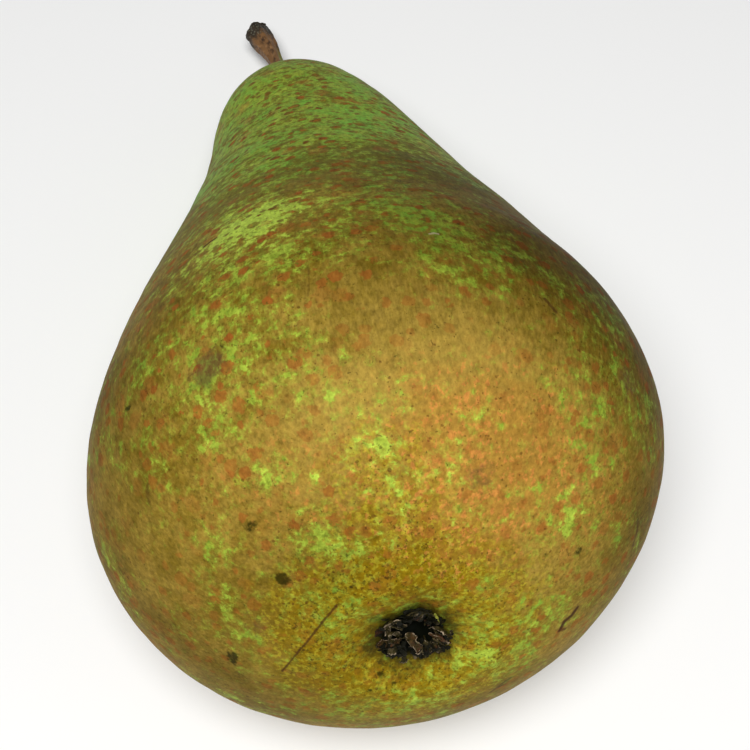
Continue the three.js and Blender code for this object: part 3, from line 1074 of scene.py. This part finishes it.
def makeStemMesh(s, fruit):
    neckX, slope = (float(v) for v in coreLine(fruit, np.array(fruit["length"])))
    bottom = fruit["length"] - fruit["pitDepth"]
    points = [(neckX - slope * s["rootDepth"], bottom - s["rootDepth"], 0)]
    points += [(neckX - aside * s["lean"], bottom + ahead * s["reach"], up * s["lift"])
               for ahead, aside, up in s["bends"]]
    line, walked = evenly(smoothLine(points, s["stepsAlong"]), s["stepsAlong"])
    angle = fullTurn(s["stepsAround"])
    root = s["rootDepth"] / walked

    def ringAt(share):
        radius = s["radius"] + s["collar"] * math.exp(-(((share - root) / s["collarReach"]) ** 2))
        radius += s["knob"] * float(smoothstep(share, s["knobFrom"], s["knobWidest"]))
        radius -= s["knobRounding"] * s["knob"] * float(smoothstep(share, s["knobWidest"], 1))
        ribs = 1 + s["ribHeight"] * np.cos(s["ribs"] * angle + s["ribTwist"] * share)
        ribs = ribs + s["fineRibHeight"] * np.cos(s["fineRibs"] * angle + s["fineRibTwist"] * share)
        aside = s["flare"] * float(smoothstep(share, s["flareFrom"], 1))
        return np.stack([radius * ribs * np.cos(angle) - aside, radius * ribs * np.sin(angle)], 1)

    stemRings = sweep(line, (1, 0, 0), ringAt)
    # The end closes over a slightly hollow, slanting break
    centre = line[-1]
    lastRing = stemRings[-1] - centre
    hollow = (line[-2] - line[-1]) * s["breakHollow"]
    closing = [centre + lastRing * wide + hollow * (1 - wide) ** 1.5 for wide in s["breakRings"]]
    stemRings = np.concatenate([[np.repeat(line[:1], len(angle), 0)], stemRings, closing])
    share = np.linspace(0, 1, len(stemRings))[:, None]
    across = (stemRings - np.repeat(stemRings.mean(1)[:, None], len(angle), 1))[..., 0]
    stemRings[..., 1] -= s["slant"] * smoothstep(share, s["slantFrom"], 1) * across
    mesh = ringMesh("pearStem", stemRings)
    points = getPoints(mesh)
    gnarled = np.clip(noiseOver(points * s["gnarlStretch"], s["gnarlSize"], 4), -1, 1)
    roughly = s["gnarl"] * gnarled - s["gnarl"]
    end = bottom + s["reach"]
    roughly *= 1 + s["endGnarl"] * smoothstep(points[:, 1], end - s["endLength"], end)
    setPoints(mesh, points + getVectors(mesh.vertices, "normal") * roughly[:, None])
    keepNumbers(mesh, "grown", points)
    keepNumbers(mesh, "share", np.concatenate([np.repeat(share[1:-1, 0], len(angle)), [0, 1]]))
    for name, around in {"rib": np.cos(s["ribs"] * angle), "side": np.cos(angle)}.items():
        keepNumbers(mesh, name, np.concatenate([np.tile(around, len(stemRings) - 2), [0, 0]]))
    setPoints(mesh, layDown(getPoints(mesh)) * mm)
    return mesh


def stemBark(s):
    paint = Paint("stemBark")
    place = paint.attribute("grown", "Vector")
    share, rib, side = (paint.attribute(name, "Fac") for name in ("share", "rib", "side"))
    drawnOut = paint.vector("MULTIPLY", place, s["fibreStretch"])
    fibres = paint.noise(drawnOut, s["fibreSize"], 5, 0.6)
    mottle = paint.noise(place, s["mottleSize"], 5, 0.6)
    colour = paint.mix(paint.fade(fibres + rib * 0.05, 0.30, 0.56), s["barkDark"], s["bark"])
    colour = paint.lay(colour, paint.fade(mottle, 0.5, 0.68), s["barkLight"])
    greenAt = (1 - paint.fade(share, 0.52, 0.72)) * paint.fade(side + mottle.sway(0.6), 0.45, 0.7)
    colour = paint.lay(colour, greenAt, s["barkGreen"])
    # Painted shade down the stem's right side
    colour = paint.lay(colour, paint.fade(side, 0.86, 0.97), (s["barkDark"], 0.8))
    endAt = paint.fade(share + mottle.sway(0.3), 0.78, 0.88)
    ashen = paint.fade(paint.noise(place, s["ashSize"], 4), 0.52, 0.66)
    colour = paint.mix(endAt * 0.9, colour, paint.mix(ashen, s["endBlack"], s["endGrey"]))
    bump = paint.bump(fibres + rib * 0.2 + mottle * 0.5, 0.7, 0.12)
    roughness = s["roughness"] + fibres.sway(0.3)
    return paint.finish(Base_Color=colour, Roughness=roughness, Normal=bump,
                        Specular_IOR_Level=s["reflection"])


print("Stem")
stemMesh = makeStemMesh(stemShape, fruitShape)
addPiece(stemMesh, "pearStem", "stem")
stemMesh.materials.append(stemBark(stemShape))


# Calyx: withered sepals and strands round a dark hollow

calyxShape = {
    # Each curl's line is given by places in the photo and heights in mm above the rim,
    # then its half width in mm, how far it rolls up, how pale it is and how reddish
    "curls": {
        "leftFlap": (
            [(404, 627, 0.1), (396, 621, 0.9), (387, 624, 0.7), (385, 633, 0.1)], 0.62, 2.2, 0.55, 0.2),
        "leftTop": ([(412, 622, 0.0), (402, 618, 0.6), (392, 621, 0.9)], 0.45, 1.6, 0.25, 0.0),
        "leftLoop": (
            [(399, 635, -0.2), (392, 632, 0.7), (388, 638, 0.9), (394, 642, 0.5)], 0.5, 2.0, 0.5, 0.0),
        "lowLeftLobe": ([(399, 641, 0.0), (388, 644, 0.7), (377, 643, 0.5)], 0.85, 1.4, 0.4, 0.5),
        "lowLeftTip": ([(398, 644, 0.1), (392, 651, 0.8), (386, 650, 0.6)], 0.6, 1.6, 0.55, 0.1),
        "lowDark": ([(404, 640, 0.2), (402, 647, 0.6), (406, 650, 0.3)], 0.5, 1.8, 0.0, 0.0),
        "brownPiece": ([(410, 633, 0.0), (414, 641, 1.1), (419, 650, 1.3)], 0.72, 1.5, 0.55, 0.45),
        "lowTip": ([(424, 646, 0.3), (420, 654, 0.9), (414, 656, 0.5)], 0.5, 1.8, 0.75, 0.1),
        "lowRightLoop": ([(423, 642, 0.2), (429, 650, 0.9), (422, 656, 0.6)], 0.5, 2.0, 0.4, 0.0),
        "rightLow": ([(430, 641, 0.1), (437, 647, 0.8), (445, 646, 0.6)], 0.7, 1.6, 0.3, 0.4),
        "rightLobe": ([(430, 634, 0.0), (440, 638, 1.0), (449, 642, 0.6)], 0.85, 1.4, 0.5, 0.6),
        "rightTop": (
            [(430, 628, 0.0), (439, 629, 1.1), (446, 632, 1.0), (448, 638, 0.4)], 0.6, 2.0, 0.6, 0.1),
        "topRight": ([(428, 622, 0.0), (434, 615, 0.8), (441, 622, 0.6)], 0.5, 1.7, 0.2, 0.0),
        "topFlap": ([(418, 620, 0.0), (420, 613, 0.9), (430, 611, 0.6)], 0.55, 1.5, 0.3, 0.0),
        "topLeftFlap": ([(410, 620, 0.0), (408, 613, 0.7), (417, 611, 0.5)], 0.5, 1.5, 0.2, 0.0),
    },
    "strands": {
        "topA": [(407, 613, 0.5), (418, 609, 0.9), (430, 611, 0.8), (437, 618, 0.4)],
        "topB": [(411, 615, 0.7), (421, 612, 1.1), (432, 615, 0.8), (438, 623, 0.3)],
        "topC": [(405, 617, 0.5), (414, 612, 1.0), (425, 609, 0.7)],
        "topD": [(417, 617, 0.6), (427, 613, 1.2), (435, 616, 0.9)],
        "innerA": [(409, 624, -0.8), (412, 620, 0.3), (416, 617, 0.9)],
        "innerB": [(424, 626, -0.8), (427, 621, 0.2), (431, 617, 0.8)],
        "innerC": [(424, 636, -0.6), (427, 641, 0.4), (432, 643, 0.8)],
        "innerD": [(410, 636, -0.6), (405, 638, 0.5), (399, 638, 0.9)],
        "innerE": [(418, 637, -0.5), (418, 641, 0.6), (423, 645, 1.1)],
        "rightA": [(434, 630, 0.6), (441, 634, 1.3), (447, 637, 1.0)],
        "rightB": [(433, 638, 0.5), (441, 643, 1.1), (447, 647, 0.5)],
        "leftA": [(402, 630, 0.5), (394, 627, 1.2), (386, 629, 0.6)],
        "leftB": [(401, 645, 0.5), (391, 647, 1.0), (381, 648, 0.5)],
    },
    "sliver": [(434, 614, 0.7), (437, 618, 1.2), (440, 623, 0.5)],
    "sliverRadius": 0.16,
    "heightsFrom": 0.3,  # mm over the basin's floor, where the heights above count from
    "rimRadius": 2.9,
    "rimWaves": [(3, 0.08, math.pi / 2), (7, 0.06, 0)],
    "rimThickness": 0.6375,
    "rimThicknessWaves": [(5, 0.17, math.pi / 2), (11, 0.102, 0)],  # mm high
    "rimFlatness": 0.8,
    "rimRise": 0.25,
    "rimStepsAround": 120,
    "rimStepsAcross": 28,
    "curlNarrowing": 0.78,
    "curlThickness": 0.12,
    "curlEdgeThinning": 0.6,
    "curlTipWidth": 0.35,
    "curlRaggedness": 0.5,
    "curlStepsAlong": 34,
    "curlStepsAcross": 13,
    "strandRadius": 0.10,
    "strandTaper": (1.1, 0.4),  # from one end to the other
    "strandRaggedness": 0.3,
    "strandStepsAlong": 26,
    "strandStepsAround": 8,
    # How far each part is crumpled, and the size of the crumples in mm
    "crumples": {
        "curlLines": (0.252, 1.3),
        "strandLines": (0.1, 0.8),
        "calyxSepals": (0.21, 0.7),
        "calyxCrumbs": (0.12, 0.5),
        "calyxStrands": (0.05, 0.5),
        "calyxRim": (0.336, 0.8),
    },
    "crumbs": 46,  # small torn bits between the sepals
    "crumbLength": 1.15,
    "crumbWidth": 0.26,
    "crumbArch": 0.35,
    # The two numbers between which the dice fall for each of them
    "crumbDice": {
        "outwards": (-0.9, 0.7),
        "raised": (0.0, 0.7),
        "lean": (-1.6, 1.6),
        "length": (0.5, 1.2),
        "rise": (-0.1, 0.9),
        "bend": (-0.4, 0.4),
        "width": (0.6, 1.5),
        "roll": (1.0, 2.6),
        "pale": (-0.3, 0.45),
        "red": (-0.3, 0.5),
    },
    "black": (15, 15, 4),
    "brown": (60, 52, 22),
    "greyBrown": (102, 90, 66),
    "reddish": ((116, 62, 38), 0.55),  # and how strongly it covers
    # pale dried rims, partly a painted highlight along the edges
    "paleEdgeAndHighlight": ((196, 174, 146), 0.75),
    "greenSliver": (130, 132, 50),
    "roughness": 0.6,
    "reflection": 0.12,
}


# A photo place at a height over the calyx's rim, in the fruit's own frame
def placeOverCalyx(across, down, height):
    origin, direction = photoRay(across, down)
    origin, ahead = standUp(origin), tipped(np.array(direction), -lieTilt)
    level = fruitShape["basinDepth"] - calyxShape["heightsFrom"] - height
    return origin + ahead * (level - origin[1]) / ahead[1]


def withEnds(rings):
    first, last = rings[0].mean(0), rings[-1].mean(0)
    count = rings.shape[1]
    return np.concatenate([[np.repeat(first[None], count, 0)], rings, [np.repeat(last[None], count, 0)]])


# A withered strip that follows its line, rolled up across and crumpled
def curlRings(s, path, halfWidth, roll, seed):
    path = smoothLine(path, s["curlStepsAlong"])
    crumple, size = s["crumples"]["curlLines"]
    path += crumple * noiseShift(path, size, 2, seed)
    across = np.linspace(-1, 1, s["curlStepsAcross"])
    loop = np.concatenate([across, across[::-1]])
    inner = np.repeat([1, -1], len(across))

    def ringAt(share):
        swelling = math.sin(math.pi * min(1, 0.15 + 0.8 * share)) ** 0.6
        width = halfWidth * (s["curlTipWidth"] + (1 - s["curlTipWidth"]) * swelling)
        ragged = 1 + s["curlRaggedness"] * noise.noise(Vector((11 * share, seed, 0)))
        bend = roll * (0.5 + share) / 1.5
        radius = 2 * width * ragged / bend
        turn = loop * bend / 2
        thick = s["curlThickness"] / 2 * (1 - s["curlEdgeThinning"] * np.abs(loop))
        x = (radius + inner * thick) * np.sin(turn)
        y = (radius + inner * thick) * np.cos(turn) - radius
        return np.stack([x, y], 1)

    strip = withEnds(sweep(path, np.cross(path[1] - path[0], (0, -1, 0)), ringAt))
    return strip, np.concatenate([np.tile(np.abs(loop), len(strip) - 2), [1, 1]])


def tubeRings(s, line, radius, seed):
    path = smoothLine([placeOverCalyx(*p) for p in line], s["strandStepsAlong"])
    crumple, size = s["crumples"]["strandLines"]
    path += crumple * noiseShift(path, size, 2, seed)
    angle = fullTurn(s["strandStepsAround"])

    def ringAt(share):
        ragged = 1 + s["strandRaggedness"] * noise.noise(Vector((14 * share, seed, 5)))
        reach = radius * np.interp(share, (0, 1), s["strandTaper"]) * ragged
        return np.stack([reach * np.cos(angle), reach * np.sin(angle)], 1)

    return withEnds(sweep(path, (0.3, 1, 0.2), ringAt))


class Gathered:
    # Collects closed strips into one mesh, with numbers at each point
    def __init__(self):
        self.points, self.faces, self.numbers = [], [], {}
        self.count = 0

    def add(self, rings, **numbers):
        mesh = ringMesh("strip", rings)
        points = getPoints(mesh)
        self.points.append(points)
        self.faces += [[v + self.count for v in p.vertices] for p in mesh.polygons]
        bpy.data.meshes.remove(mesh)
        for key, value in numbers.items():
            self.numbers.setdefault(key, []).append(np.broadcast_to(value, len(points)))
        self.count += len(points)

    def mesh(self, name, crumples):
        crumple, size = crumples[name]
        points = np.concatenate(self.points)
        numbers = {key: np.concatenate(values) for key, values in self.numbers.items()}
        return laidMesh(name, points, self.faces, numbers, crumple * noiseShift(points, size, 3, 41, 5))


# A mesh of grown points, laid down with the fruit
def laidMesh(name, points, faces, numbers, shift=0.0):
    mesh = bpy.data.meshes.new(name)
    mesh.from_pydata((layDown(points + shift) * mm).tolist(), [], faces)
    mesh.shade_smooth()
    keepNumbers(mesh, "grown", points)
    for key, values in numbers.items():
        keepNumbers(mesh, key, np.broadcast_to(values, len(points)))
    return mesh


def makeSepals(s):
    gathered = Gathered()
    for seed, (line, width, roll, pale, red) in enumerate(s["curls"].values()):
        path = [placeOverCalyx(*point) for point in line]
        strip, edge = curlRings(s, path, width * s["curlNarrowing"], roll, 3.7 * seed)
        gathered.add(strip, edge=edge, pale=pale, red=red)
    return gathered.mesh("calyxSepals", s["crumples"])


def makeCrumbs(s, fruit):
    gathered = Gathered()
    dice = random.Random(12)

    def throw(kind):
        return dice.uniform(*s["crumbDice"][kind])

    for seed in range(s["crumbs"]):
        turn = 2 * math.pi * (seed + dice.random()) / s["crumbs"]
        out = s["rimRadius"] + throw("outwards")
        root = np.array([
            fruit["basinOffset"] + out * math.cos(turn),
            fruit["basinDepth"] - throw("raised"),
            out * math.sin(turn),
        ])
        lean = turn + throw("lean")
        length = s["crumbLength"] * throw("length")
        ahead = np.array([math.cos(lean), -throw("rise"), math.sin(lean)]) * length
        bend = np.array([throw("bend"), -s["crumbArch"], throw("bend")]) * length
        path = [root, root + ahead / 2 + bend, root + ahead]
        strip, edge = curlRings(s, path, s["crumbWidth"] * throw("width"), throw("roll"), 40 + seed)
        gathered.add(strip, edge=edge, pale=throw("pale"), red=throw("red"))
    return gathered.mesh("calyxCrumbs", s["crumples"])


def makeStrands(s):
    gathered = Gathered()
    for seed, line in enumerate(s["strands"].values()):
        tube = tubeRings(s, line, s["strandRadius"], 2.1 * seed)
        gathered.add(tube, edge=0.3, pale=0.25 + 0.1 * (seed % 4), red=0.0)
    gathered.add(tubeRings(s, s["sliver"], s["sliverRadius"], 77), edge=0.0, pale=0.6, red=-1.0)
    return gathered.mesh("calyxStrands", s["crumples"])


# A crumpled ring where the sepals are rooted, closed on itself
def makeRim(s, fruit):
    steps = s["rimStepsAround"], s["rimStepsAcross"]
    around, section = fullTurn(steps[0])[:, None], fullTurn(steps[1])
    tube = s["rimThickness"] + waves(around, s["rimThicknessWaves"])
    reach = s["rimRadius"] * (1 + waves(around, s["rimWaves"])) + tube * np.cos(section)
    points = np.stack([
        fruit["basinOffset"] + reach * np.cos(around),
        fruit["basinDepth"] + s["rimRise"] - tube * np.sin(section) * s["rimFlatness"],
        reach * np.sin(around),
    ], -1).reshape(-1, 3)
    crumple, size = s["crumples"]["calyxRim"]
    points = points + crumple * noiseShift(points, size, 3, 60)
    index = np.arange(len(points)).reshape(steps)
    beside, above = np.roll(index, -1, 0), np.roll(index, -1, 1)
    faces = np.stack([index, beside, np.roll(beside, -1, 1), above], -1).reshape(-1, 4).tolist()
    return laidMesh("calyxRim", points, faces, {"edge": 0.4, "pale": 0.0, "red": 0.0})


def witheredCalyx(s):
    paint = Paint("witheredCalyx")
    place = paint.attribute("grown", "Vector")
    edge, pale, red = (paint.attribute(name, "Fac") for name in ("edge", "pale", "red"))
    mottle = paint.noise(place, 0.9, 5, 0.65)
    fibres = paint.noise(place, 0.22, 4, 0.7, 1.5)
    lightness = pale - 0.12 + mottle.sway(1.6) + fibres.sway(0.9)
    colour = paint.mix(paint.fade(lightness, 0.05, 0.55), s["black"], s["brown"])
    colour = paint.mix(paint.fade(lightness, 0.4, 0.95), colour, s["greyBrown"])
    reddish = paint.fade(red + paint.noise(place, 0.6, 3).sway(1.1), 0.35, 0.9)
    colour = paint.lay(colour, reddish, s["reddish"])
    # Pale dried edges on the sepals' rims, partly a painted highlight
    edgeAndHighlight = paint.fade(edge + fibres.sway(1.3) + mottle.sway(1.0), 0.84, 1.08)
    colour = paint.lay(colour, edgeAndHighlight * paint.fade(lightness, 0.2, 0.65), s["paleEdgeAndHighlight"])
    colour = paint.mix(paint.fade(red, -0.4, -0.8), colour, s["greenSliver"])
    bump = paint.bump(fibres + mottle, 0.8, 0.12)
    roughness = s["roughness"] + mottle.sway(0.3)
    return paint.finish(Base_Color=colour, Roughness=roughness, Normal=bump,
                        Specular_IOR_Level=s["reflection"])


print("Calyx")
calyxPaint = witheredCalyx(calyxShape)
calyxMeshes = [
    makeRim(calyxShape, fruitShape),
    makeSepals(calyxShape),
    makeCrumbs(calyxShape, fruitShape),
    makeStrands(calyxShape),
]
for mesh in calyxMeshes:
    addPiece(mesh, mesh.name, "calyx")
    mesh.materials.append(calyxPaint)


bpy.context.view_layer.update()
